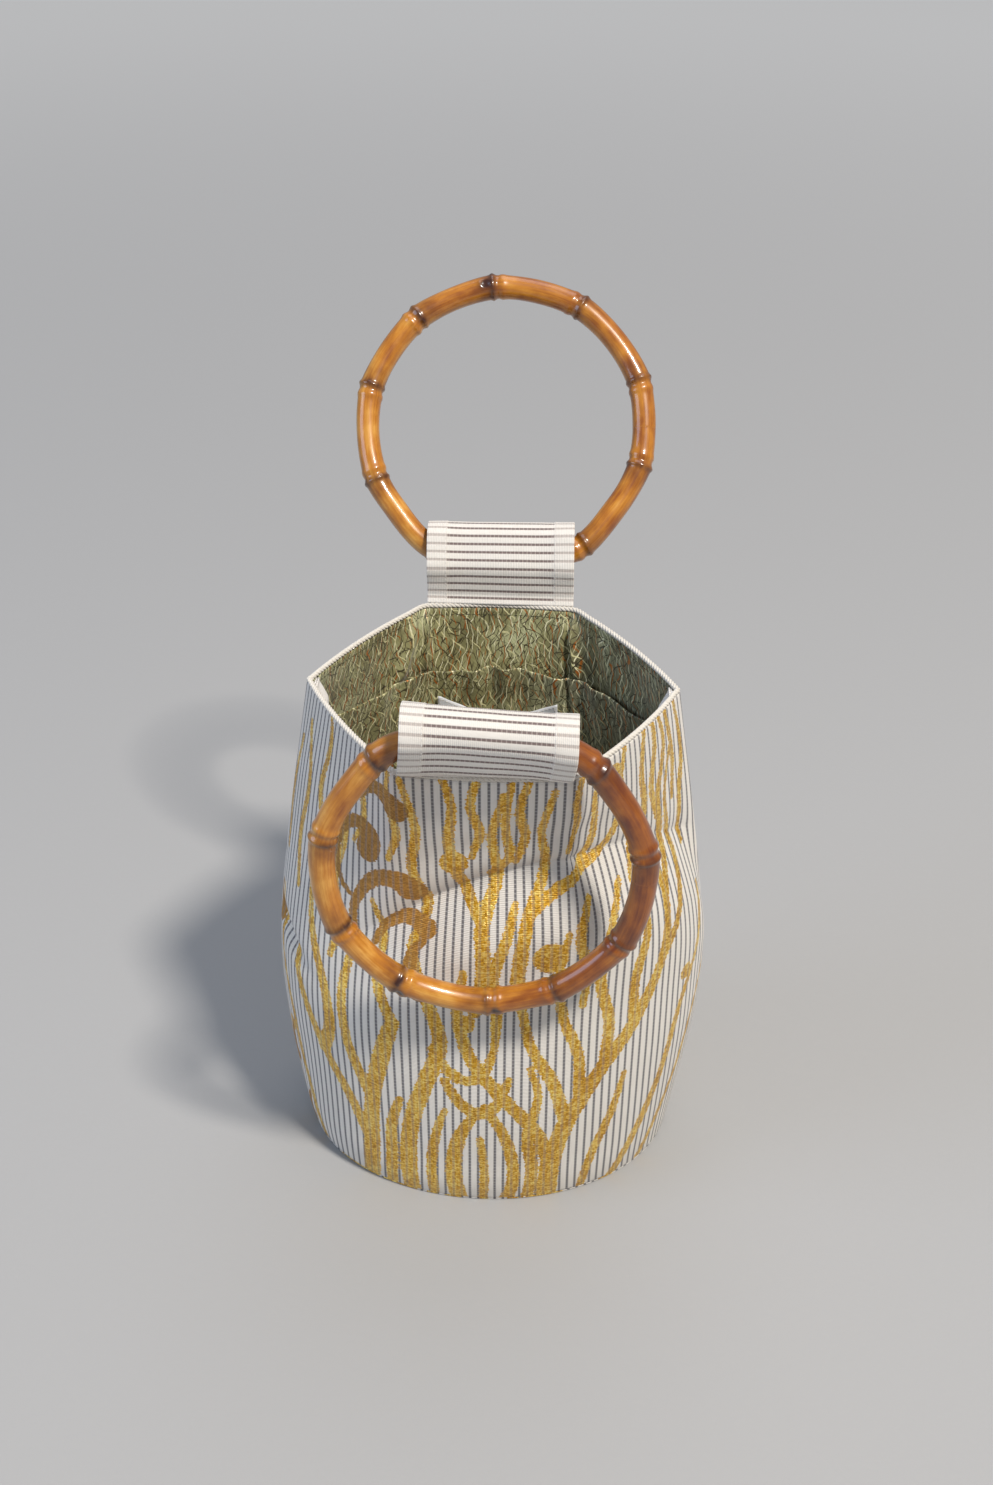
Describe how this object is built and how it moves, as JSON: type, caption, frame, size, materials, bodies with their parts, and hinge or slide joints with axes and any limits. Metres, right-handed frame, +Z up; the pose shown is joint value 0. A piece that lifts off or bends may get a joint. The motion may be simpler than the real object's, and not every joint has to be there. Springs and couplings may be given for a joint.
{
  "type": "bamboo handle bag",
  "caption": "Small bucket-shaped cloth handbag with an oval base, a lined mouth, and a bamboo ring handle in a cloth tab at the front and at the back.",
  "frame": {"origin": "centre of the flat underside of the oval base", "axes": "+Z up, -Y towards the front of the bag, where the front ring hangs, +X to the right in a view of the front"},
  "size_m": [0.208, 0.2743, 0.3862],
  "materials": {
    "outer_cloth": "matt open-weave silk with woven gold",
    "lining_cloth": "satin cotton print",
    "piping_cloth": "matt twill",
    "bamboo": "glossy lacquer",
    "dark_metal": "dark plated",
    "board": "matt",
    "label_cloth": "matt woven"
  },
  "bodies": {
    "bag": {"outer_front_panel": "outer_cloth", "outer_back_panel": "outer_cloth", "outer_base": "outer_cloth", "base_board": "board", "lining_front": "lining_cloth", "lining_back": "lining_cloth", "lining_base": "lining_cloth", "inner_pocket": "lining_cloth", "blank_label": "label_cloth", "rim_piping": "piping_cloth", "front_handle_tab": "outer_cloth", "back_handle_tab": "outer_cloth", "left_side_tab": "piping_cloth", "right_side_tab": "piping_cloth"},
    "front_handle": {"front_bamboo_ring": "bamboo"},
    "back_handle": {"back_bamboo_ring": "bamboo"},
    "left_link": {"left_d_ring": "dark_metal"},
    "right_link": {"right_d_ring": "dark_metal"}
  },
  "joints": [
    {"name": "front_ring_turn", "type": "hinge", "parent": "bag", "child": "front_handle", "pos_m": [0, -0.08929, 0.26867], "axis": [-1, 0, 0], "range_deg": [-2, 218], "deforming": ["front_handle_tab"]},
    {"name": "back_ring_turn", "type": "hinge", "parent": "bag", "child": "back_handle", "pos_m": [0, 0.09392, 0.26842], "axis": [1, 0, 0], "range_deg": [-147, 73], "deforming": ["back_handle_tab"]},
    {"name": "left_d_ring_swing", "type": "hinge", "parent": "bag", "child": "left_link", "pos_m": [-0.07945, 0, 0.2339], "axis": [0, -1, 0], "range_deg": [0, 95]},
    {"name": "right_d_ring_swing", "type": "hinge", "parent": "bag", "child": "right_link", "pos_m": [0.07945, 0, 0.2339], "axis": [0, 1, 0], "range_deg": [0, 95]}
  ]
}
